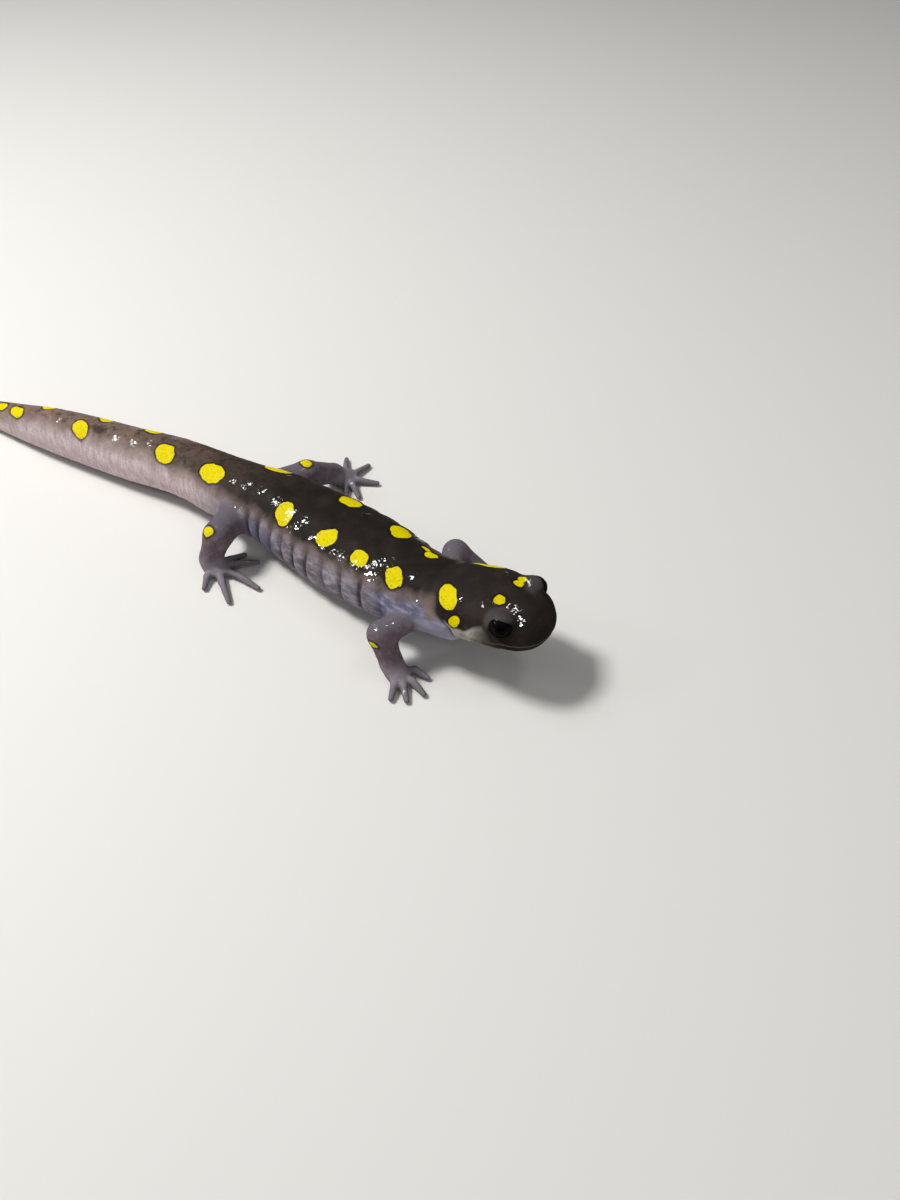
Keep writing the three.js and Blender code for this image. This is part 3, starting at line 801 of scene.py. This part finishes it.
def paintSkin(mesh):
    points, normals = pointsOf(mesh), valuesOf(mesh.vertices, "normal", 3)
    at = alongBody(points)
    s = at["s"]
    across, upright = at["side"] / at["halfWide"], at["height"] / at["halfTall"]
    level = upright / np.maximum(np.hypot(across, upright), 1e-6)
    turn = np.degrees(np.arctan2(upright, np.abs(across)))  # 90 at the back, 0 at the side, -90 below
    toBody = inChunks(bodyDistance, points)
    toLimb = np.full(len(points), 9.0)
    for limb in limbs.values():
        low, high = limbBox(limb)
        near = np.all((points > low) & (points < high), axis=1)
        toLimb[near] = np.minimum(toLimb[near], limbDistance(points[near], limb))
    paint = {"limb": smoothStep(*zones["limb"], toBody - toLimb)}
    paint["hand"] = paint["limb"] * smoothStep(*zones["hand"], points[:, 2])
    paint["toe"] = paint["limb"] * smoothStep(*zones["toe"], points[:, 2])
    paint["yellow"] = marksDistance(points, normals, onBody(spots) + onLegs(legSpots))
    paint["blotch"] = marksDistance(points, normals, onBody(blotches))

    # how far under the dark of the back a point lies, in millimetres round the girth
    girth = np.hypot(at["side"], at["height"])
    paint["under"] = np.radians(np.interp(s, zones["along"], zones["edge"]) - turn) * girth
    paint["underHead"] = np.radians(np.interp(s, zones["headAlong"], zones["headEdge"]) - turn) * girth
    paint["belly"] = smoothStep(*zones["belly"], -level)
    paint["tail"] = smoothStep(*zones["tail"], s)
    paint["rear"] = smoothStep(*zones["rear"], s)
    fold = pastFold(s, level)
    paint["head"] = smoothStep(*zones["head"], fold)
    paint["cheek"] = paint["head"] * smoothStep(*zones["cheek"], s)
    paint["shoulder"] = within(zones["shoulder"], s) * smoothStep(*zones["shoulderLevel"], level)
    beside = smoothStep(-0.1, 0.35, level) * smoothStep(0.95, 0.7, level)
    neckAt, neckLean, neckWide = zones["neck"]
    paint["neck"] = bump(s - neckAt - neckLean * level, neckWide) * beside
    # a pale line just over the lip line: partly the lip's own paler tone, partly a painted highlight on its
    # edge
    lip = bump(overLipLine(s, at["height"]) - zones["lipOver"], zones["lipWide"])
    paint["lip"] = lip * smoothStep(mouth["corner"] - 1.0, mouth["corner"] + 1.5, s)
    paint["hip"] = within(zones["hip"], s) * smoothStep(-0.5, -0.2, -level)
    # how far the skin looks up; it paints light on the upward faces of the limbs
    paint["up"] = normals[:, 2]
    wet = np.full(len(points), water["trace"])
    places = [(bodyPoint(along, angle)[0], size, water["edge"]) for along, angle, size in pools]
    places += [(np.array(centre), size, water["legEdge"]) for centre, size in legPools]
    for centre, size, (none, full) in places:
        wet = np.maximum(wet, smoothStep(none * size, full * size, lengthOf(points - centre)))
    paint["wet"] = wet * smoothStep(*water["lookingUp"], normals[:, 2])
    lid = np.zeros(len(points))
    for side in (-1, 1):
        _, radius = lidOpening(points, side)
        upper = (points - pairPlace(eye, side)) @ eyeAxes(side)[2] / radius
        lid = np.maximum(lid, smoothStep(1.3, 0.1, radius - lids["shell"]) * smoothStep(-0.1, 0.6, upper))
    paint["lid"] = lid
    # painted shade in the throat fold, and a painted highlight on the edge in front of it
    paint["fold"] = bump(fold, 0.24) * fadeOut(0.35, 0.72, level)
    paint["foldRim"] = bump(fold - 0.8, 0.55) * fadeOut(0.1, 0.4, level)
    paint["throat"] = within(zones["throat"], s) * smoothStep(*zones["throatLevel"], level)
    # the hills between the rib grooves are painted light and the grooves painted shade
    relief = grooveRelief(s, level)
    paint["ridge"] = np.clip(relief / 0.2, 0, 1)
    paint["groove"] = np.clip(-relief / grooves["deep"], 0, 1) * (1 - paint["limb"])
    skinFields.extend(paint)
    for name, values in paint.items():
        setField(mesh, name, values)
    place = mesh.attributes.new("bodyPlace", "FLOAT_VECTOR", "POINT")
    around = np.radians(90 - turn) * girth * np.sign(at["side"])
    place.data.foreach_set("vector", np.stack([s, around, 0 * s], 1).astype(np.float32).ravel())


def linear(hexColour):
    values = [int(hexColour[i : i + 2], 16) / 255 for i in (1, 3, 5)]
    return (*[v / 12.92 if v <= 0.04045 else ((v + 0.055) / 1.055) ** 2.4 for v in values], 1.0)


def newMaterial(name):
    material = bpy.data.materials.new(name)
    material.use_nodes = True
    tree = material.node_tree
    tree.nodes.clear()
    return material, tree


def addNode(tree, kind, settings=None, out=0, **inputs):
    # makes a node and gives one of its outputs; each input is a value, or an output to link
    node = tree.nodes.new("ShaderNode" + kind)
    for key, value in (settings or {}).items():
        setattr(node, key, value)
    for key, value in inputs.items():
        name = key.replace("_", " ")
        socket = node.inputs[int(name[5:])] if name.startswith("input") else node.inputs[name]
        if isinstance(value, bpy.types.NodeSocket):
            tree.links.new(value, socket)
        else:
            socket.default_value = value
    return node.outputs[out] if node.outputs else None


smooth = {"interpolation_type": "SMOOTHSTEP"}
colours = {"data_type": "RGBA"}
multiplyAdd = {"operation": "MULTIPLY_ADD"}

# Amphibian skin: smooth, wet and gland-dotted. It reads as soft dark flesh under a thin clear film,
# so the colour is dull, and the film shines only where it lies thick.
skinColours = {
    "back": "#241f1c", "backWarm": "#2f2823", "edgeBrown": "#695a55",
    "flank": "#7b7580", "flankPale": "#aaa4ac", "flankDark": "#5a515a", "flankBrown": "#6a5d5f",
    # the dark of the grooves is painted shade, in the rib grooves and in the throat fold
    "creaseShade": "#332c34", "belly": "#5f5d69",
    "tailTop": "#7a675d", "tailTopDark": "#4c3f37", "tailTopWarm": "#8f7567", "tailBrown": "#8f7e78",
    "tailSide": "#c0adae", "tailPale": "#dac9ca", "tailDull": "#8d7c80",
    # the lip colour is partly the lip's paler tone and partly a painted highlight on its edge
    "head": "#292420", "headWarm": "#332b28", "jaw": "#453d39", "lip": "#746a65",
    # the pale of the fold is a painted highlight on the edge in front of the throat fold
    "cheek": "#aba79d", "cheekDark": "#7d756b", "foldHighlight": "#bdb8c0",
    "throat": "#a5a2b0", "neck": "#85766a",
    "shoulder": "#68667f", "shoulderPale": "#a9a7bf", "hip": "#72738a",
    # the lit top of the limbs is painted light, for the faces that look up
    "limb": "#6a5b61", "limbPale": "#7d7078", "limbDark": "#51464d", "limbLitTop": "#686169",
    # the pale fleck is a painted glint: pale dots that stand in for wet sparkles
    "hand": "#91898f", "toe": "#6f696e", "fleck": "#b9b3ba", "lid": "#4a4445",
    "blotch": "#2a211c", "rim": "#1c1612",
    "yellow": "#e2d200", "yellowDeep": "#d2b500", "pore": "#6a5304",
}
skinPatterns = {
    # width of a patch in millimetres, detail, roughness, and for one that lies along and round the body
    # its stretch. The dots of painted glints and the pores are drawn wider than in life, as finer ones
    # would be lost.
    "wide": (4.0, 3.0, 0.5),
    "middle": (1.3, 3.0, 0.6),
    "fine": (0.45, 3.0, 0.65),
    "streak": (1.4, 4.0, 0.62, (0.6, 1.0, 1)),
    "wrinkle": (1.0, 3.0, 0.6, (1.3, 0.35, 1)),
    "lobes": (1.5, 1.5, 0.5),
    "pigment": (0.6, 3.0, 0.7),
    "pores": (0.3, 1.0, 0.5),
    "glintDots": (0.5, 1.0, 0.5),
    "breaks": (1.1, 1.0, 0.5),
    "beads": (0.88, 0.6, 0.5),
    "grain": (0.55, 0.0, 0.5),
}
skinSums = [
    # name, then what is added to what, each with its share, and a shift that brings the middle to nothing
    ("ragged", "middle", 1.5, "wide", 4.0, -2.75),
    ("backEdge", "under", 1.0, "ragged", 1.0, 0.0),
    ("headEdge", "underHead", 1.0, "ragged", 0.3, 0.0),
    ("blotchEdge", "blotch", 1.0, "ragged", 1.0, 0.0),
    ("spotEdge", "yellow", 1.0, "lobes", 0.9, -0.45),
    ("film", "beads", 1.0, "grain", 0.18, 0.0),
]
skinMasks = [
    # name, what it follows, where it is none and full, its strongest, and what some are kept within
    ("patches", "wide", 0.42, 0.7, 1.0),
    ("mottle", "middle", 0.42, 0.72, 1.0),
    ("faintMottle", "wide", 0.45, 0.62, 0.6),
    ("streaks", "streak", 0.4, 0.68, 0.8),
    ("wrinkles", "wrinkle", 0.36, 0.68, 1.0),
    ("specks", "fine", 0.52, 0.66, 0.5),
    ("hipBlue", "hip", 0.0, 1.0, 0.6),
    # painted shade along the rib grooves
    ("grooveShade", "groove", 0.0, 0.8, 0.8),
    ("overEdge", "backEdge", 0.2, 3.6, 1.0),
    ("underEdge", "backEdge", -1.4, 1.2, 1.0),
    ("bellyTone", "belly", 0.0, 1.0, 0.8),
    ("jawTone", "headEdge", 0.0, 2.0, 1.0),
    ("cheekTone", "headEdge", -0.2, 0.9, 1.0, "cheek"),
    # the lip's paler tone, partly a painted highlight
    ("lipPaleAndLit", "lip", 0.2, 1.0, 0.55),
    # painted shade in the throat fold and a painted highlight on its front edge
    ("foldShade", "fold", 0.1, 1.0, 0.8),
    ("foldEdgeHighlight", "foldRim", 0.1, 1.0, 0.6),
    ("throatTone", "throat", 0.0, 1.0, 0.65),
    # painted light on the hills between the grooves: paler, with pale dots of painted glints where the
    # streaks lie
    ("ridgeGlints", "ridge", 0.0, 1.0, 0.35, "streaks"),
    ("ridgeLight", "ridge", 0.0, 1.0, 0.3),
    ("toeTone", "toe", 0.0, 1.0, 0.7),
    ("neckTone", "neck", 0.0, 1.0, 0.8),
    ("lidTone", "lid", 0.0, 1.0, 0.85),
    ("limbSpecks", "fine", 0.5, 0.65, 0.4),
    # painted light: the limbs are lighter where they face up
    ("limbTopLight", "up", 0.35, 0.95, 1.0),
    ("handTone", "hand", 0.0, 1.0, 0.7),
    # pale dots of painted glints on the upward faces of the limbs and on the flank
    ("limbGlints", "glintDots", 0.68, 0.73, 0.3, "limbTopLight"),
    ("flankGlints", "glintDots", 0.68, 0.73, 0.35),
    ("blotchTone", "blotchEdge", 0.6, -0.4, 0.8),
    ("rimTone", "spotEdge", 0.75, 0.1, 0.75),
    ("spotTone", "spotEdge", 0.06, -0.06, 1.0),
    ("spotMottle", "pigment", 0.45, 0.75, 1.0),
    ("poreTone", "pores", 0.68, 0.74, 0.7),
    ("wetPatch", "breaks", 0.36, 0.46, 0.9, "wet"),
]
skinTones = [
    # name, the colour it starts from, then each mask with the colour or earlier tone laid over it
    ("tailUpper", "tailTop", [("patches", "tailTopWarm"), ("mottle", "tailTopDark")]),
    ("upper", "back", [("patches", "backWarm"), ("rear", "tailUpper")]),
    ("tailLower", "tailSide", [("wrinkles", "tailPale"), ("specks", "tailDull")]),
    ("shoulderBlue", "shoulder", [("streaks", "shoulderPale"), ("flankGlints", "fleck")]),
    ("lower", "flank", [
        ("streaks", "flankPale"), ("specks", "flankDark"), ("faintMottle", "flankBrown"),
        ("ridgeGlints", "fleck"), ("flankGlints", "fleck"), ("tail", "tailLower"), ("hipBlue", "hip"),
        ("grooveShade", "creaseShade"), ("shoulder", "shoulderBlue"),
    ]),
    ("border", "edgeBrown", [("ridgeLight", "flankPale"), ("tail", "tailBrown"), ("overEdge", "lower")]),
    ("trunk", "upper", [
        ("underEdge", "border"), ("bellyTone", "belly"), ("neckTone", "neck"), ("throatTone", "throat"),
    ]),
    ("cheekSkin", "cheek", [("mottle", "cheekDark")]),
    ("headSkin", "head", [
        ("patches", "headWarm"), ("jawTone", "jaw"), ("throatTone", "throat"), ("cheekTone", "cheekSkin"),
        ("bellyTone", "belly"), ("lipPaleAndLit", "lip"), ("lidTone", "lid"),
    ]),
    ("limbSkin", "limb", [
        ("mottle", "limbPale"), ("limbSpecks", "limbDark"), ("limbTopLight", "limbLitTop"), ("handTone", "hand"),
        ("toeTone", "toe"), ("limbGlints", "fleck"),
    ]),
    ("spot", "yellow", [("spotMottle", "yellowDeep"), ("poreTone", "pore")]),
    ("skin", "trunk", [
        ("head", "headSkin"), ("foldEdgeHighlight", "foldHighlight"), ("foldShade", "creaseShade"),
        ("limb", "limbSkin"), ("blotchTone", "blotch"), ("rimTone", "rim"), ("spotTone", "spot"),
    ]),
]
skinFinish = {
    "roughness": 0.43,
    "mottleRoughness": 0.24,
    "shine": 0.012,
    "ior": 1.4,
    "skinBump": 0.35,
    "skinHeight": 0.00012,  # metres
    "filmBump": 1.0,
    "filmHeight": 0.0003,
    "filmRoughness": 0.1,
    "filmIor": 1.33,  # of water
}


def skinMaterial():
    material, tree = newMaterial("wet_amphibian_skin")
    metres = addNode(tree, "TexCoord", out="Object")
    space = addNode(tree, "VectorMath", {"operation": "SCALE"}, Vector=metres, Scale=1 / mm)
    bodyPlace = addNode(tree, "Attribute", {"attribute_name": "bodyPlace"}, "Vector")
    fields = {}
    for name in skinFields:
        fields[name] = addNode(tree, "Attribute", {"attribute_name": name}, "Fac")
    for name, (size, detail, rough, *stretch) in skinPatterns.items():
        place = addNode(tree, "Mapping", Vector=bodyPlace, Scale=stretch[0]) if stretch else space
        fields[name] = addNode(tree, "TexNoise", Vector=place, Scale=1 / size, Detail=detail, Roughness=rough)
    for name, first, firstShare, second, secondShare, shift in skinSums:
        added = addNode(tree, "Math", multiplyAdd, input0=fields[second], input1=secondShare, input2=shift)
        fields[name] = addNode(
            tree, "Math", multiplyAdd, input0=fields[first], input1=firstShare, input2=added
        )
    for name, follows, none, full, strongest, *inside in skinMasks:
        fields[name] = addNode(
            tree, "MapRange", smooth, Value=fields[follows], From_Min=none, From_Max=full, To_Max=strongest
        )
        for held in inside:
            fields[name] = addNode(
                tree, "Math", {"operation": "MULTIPLY"}, input0=fields[name], input1=fields[held]
            )
    tones = {name: linear(colour) for name, colour in skinColours.items()}
    for name, start, coats in skinTones:
        tone = tones[start]
        for mask, over in coats:
            tone = addNode(tree, "Mix", colours, 2, input0=fields[mask], input6=tone, input7=tones[over])
        tones[name] = tone

    film = addNode(
        tree, "Bump", Height=fields["film"],
        Strength=skinFinish["filmBump"], Distance=skinFinish["filmHeight"],
    )
    surface = addNode(
        tree, "Bump", Height=fields["fine"],
        Strength=skinFinish["skinBump"], Distance=skinFinish["skinHeight"],
    )
    roughness = addNode(
        tree, "Math", multiplyAdd,
        input0=fields["middle"], input1=skinFinish["mottleRoughness"], input2=skinFinish["roughness"],
    )
    shader = addNode(
        tree, "BsdfPrincipled", Base_Color=tones["skin"], Roughness=roughness, Normal=surface,
        IOR=skinFinish["ior"], Specular_IOR_Level=skinFinish["shine"],
        Coat_Weight=fields["wetPatch"], Coat_Normal=film,
        Coat_IOR=skinFinish["filmIor"], Coat_Roughness=skinFinish["filmRoughness"],
    )
    addNode(tree, "OutputMaterial", Surface=shader)
    return material


# Eyeball: clear cornea over a blackish brown iris. A polished dark ball that shows only its highlights.
eyeLook = {
    "iris": "#0b090a",
    "fleck": "#1a1410",
    "grain": 4500.0,  # flecks of about a fifth of a millimetre
    "pupil": "#030304",
    "pupilEdge": (21.0, 25.0),  # degrees from the gaze
    "tearFilm": 0.12,
    "filmRoughness": 0.03,
    "cornea": 0.06,  # how far the clear front bulges
    "corneaWide": 32.0,
}


def eyeMaterial():
    material, tree = newMaterial("wet_dark_eye")
    angle = addNode(tree, "Attribute", {"attribute_name": "gaze"}, "Fac")
    space = addNode(tree, "TexCoord", out="Object")
    grain = addNode(tree, "TexNoise", Vector=space, Scale=eyeLook["grain"], Detail=3.0)
    fleck = addNode(tree, "MapRange", Value=grain, From_Min=0.5, From_Max=0.75)
    darkIris, paleFleck, pupil = (linear(eyeLook[part]) for part in ("iris", "fleck", "pupil"))
    iris = addNode(tree, "Mix", colours, 2, input0=fleck, input6=darkIris, input7=paleFleck)
    inner, outer = eyeLook["pupilEdge"]
    ring = addNode(tree, "MapRange", smooth, Value=angle, From_Min=inner, From_Max=outer)
    colour = addNode(tree, "Mix", colours, 2, input0=ring, input6=pupil, input7=iris)
    shader = addNode(
        tree, "BsdfPrincipled", Base_Color=colour, Roughness=0.5, Specular_IOR_Level=0.0,
        Coat_Weight=eyeLook["tearFilm"], Coat_IOR=1.34, Coat_Roughness=eyeLook["filmRoughness"],
    )
    addNode(tree, "OutputMaterial", Surface=shader)
    return material


def makeEye(side, name):
    bm = bmesh.new()
    bmesh.ops.create_uvsphere(bm, u_segments=64, v_segments=40, radius=eye["radius"])
    mesh = bpy.data.meshes.new(name)
    bm.to_mesh(mesh)
    bm.free()
    points = pointsOf(mesh)
    out = eyeAxes(side)[0]
    angle = np.degrees(np.arccos(np.clip(unit(points) @ out, -1, 1)))
    points = points + unit(points) * (eyeLook["cornea"] * bump(angle, eyeLook["corneaWide"]))[:, None]
    setPoints(mesh, points + pairPlace(eye, side))
    setField(mesh, "gaze", angle)
    mesh.shade_smooth()
    return mesh


def addObject(name, data):
    thing = bpy.data.objects.new(name, data)
    scene.collection.objects.link(thing)
    return thing


eyes = {"eye_right": -1, "eye_left": 1}
fleshNodes = [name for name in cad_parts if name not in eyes]


def eyesMiddle():
    boxes = [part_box(name) for name in eyes]
    return sum((low + high for low, high in boxes), Vector()) / 4


def intoFrame(mesh):
    # the eyes tie the animal's own millimetres to the frame
    own = np.array((eye["x"], eye["y"], eye["z"]))
    setPoints(mesh, (pointsOf(mesh) - own) * mm + np.array(eyesMiddle()))


def inFrame(place):
    return Vector([(a - b) * mm for a, b in zip(place, (eye["x"], eye["y"], eye["z"]))]) + eyesMiddle()


skinMesh = makeSkin()
paintSkin(skinMesh)
intoFrame(skinMesh)
skinMesh.materials.append(skinMaterial())
skin = addObject("skin", skinMesh)
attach(skin, "root")
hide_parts(*fleshNodes)
print("skin painted")

eyeFinish = eyeMaterial()
for name, side in eyes.items():
    ballMesh = makeEye(side, name + "_ball")
    intoFrame(ballMesh)
    ballMesh.materials.append(eyeFinish)
    piece = addObject(name + "_ball", ballMesh)
    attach(piece, "root")
    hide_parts(name)
print("eyes made")

# place in the animal's millimetres, tilt from straight down and turn in degrees, lens in millimetres
camera = {"place": (118.5, -87.8, 130.0), "tilt": 42.0, "turn": 36.0, "lens": 27.03}

cameraData = bpy.data.cameras.new("camera")
cameraData.sensor_width = 36.0
cameraData.lens = camera["lens"]
cameraData.clip_start = 0.005
cameraObject = addObject("camera", cameraData)
cameraObject.location = inFrame(camera["place"])
cameraObject.rotation_euler = (math.radians(camera["tilt"]), 0, math.radians(camera["turn"]))
scene.camera = cameraObject

# Plain pale floor, matt like painted board. It lies a hair under the feet.
floor = {"size": 6.0, "drop": 0.00002, "colour": "#d8d5cf", "roughness": 0.8}
floorMesh = bpy.data.meshes.new("floor")
half = floor["size"] / 2
corners = [(-half, -half, 0), (half, -half, 0), (half, half, 0), (-half, half, 0)]
floorMesh.from_pydata(corners, [], [(0, 1, 2, 3)])
floorObject = addObject("floor", floorMesh)
floorObject.location.z = -floor["drop"]
floorPaint, floorTree = newMaterial("matt_floor_paint")
floorShader = addNode(
    floorTree, "BsdfPrincipled", Base_Color=linear(floor["colour"]), Roughness=floor["roughness"]
)
addNode(floorTree, "OutputMaterial", Surface=floorShader)
floorMesh.materials.append(floorPaint)

lights = [
    # name, where it comes from, distance, size in metres, watts, what it lights
    ("key", (-0.48, -0.20, 0.85), 0.6, 0.12, 3.4, "colour"),
    ("fill", (0.75, -0.45, 0.5), 0.8, 0.6, 0.8, "colour"),
    ("spark", (-0.61, -0.11, 0.78), 0.6, 0.16, 12.0, "shine"),
    ("low_spark", (-0.65, -0.51, 0.56), 0.6, 0.06, 7.0, "shine"),
    ("top_spark", (0.32, 0.26, 0.90), 0.6, 0.12, 7.0, "shine"),
]
lightsAim = inFrame((20.0, 0.0, 8.0))
for name, towards, distance, size, watts, lighting in lights:
    lamp = bpy.data.lights.new(name, "AREA")
    lamp.size = size
    lamp.energy = watts
    lampObject = addObject(name, lamp)
    lampObject.visible_glossy = lighting == "shine"
    lampObject.visible_diffuse = lighting == "colour"
    way = Vector(towards).normalized()
    lampObject.location = lightsAim + way * distance
    lampObject.rotation_euler = way.to_track_quat("Z", "Y").to_euler()

# Dim even light from all round. It stays out of the shine, which only the lights give.
room = {"colour": "#e6e8ec", "strength": 0.25}
world = bpy.data.worlds.new("soft_room")
world.use_nodes = True
background = world.node_tree.nodes["Background"]
background.inputs["Color"].default_value = linear(room["colour"])
background.inputs["Strength"].default_value = room["strength"]
scene.world = world
world.cycles_visibility.glossy = False
scene.view_settings.view_transform = "Standard"
print("camera, floor and lights set")
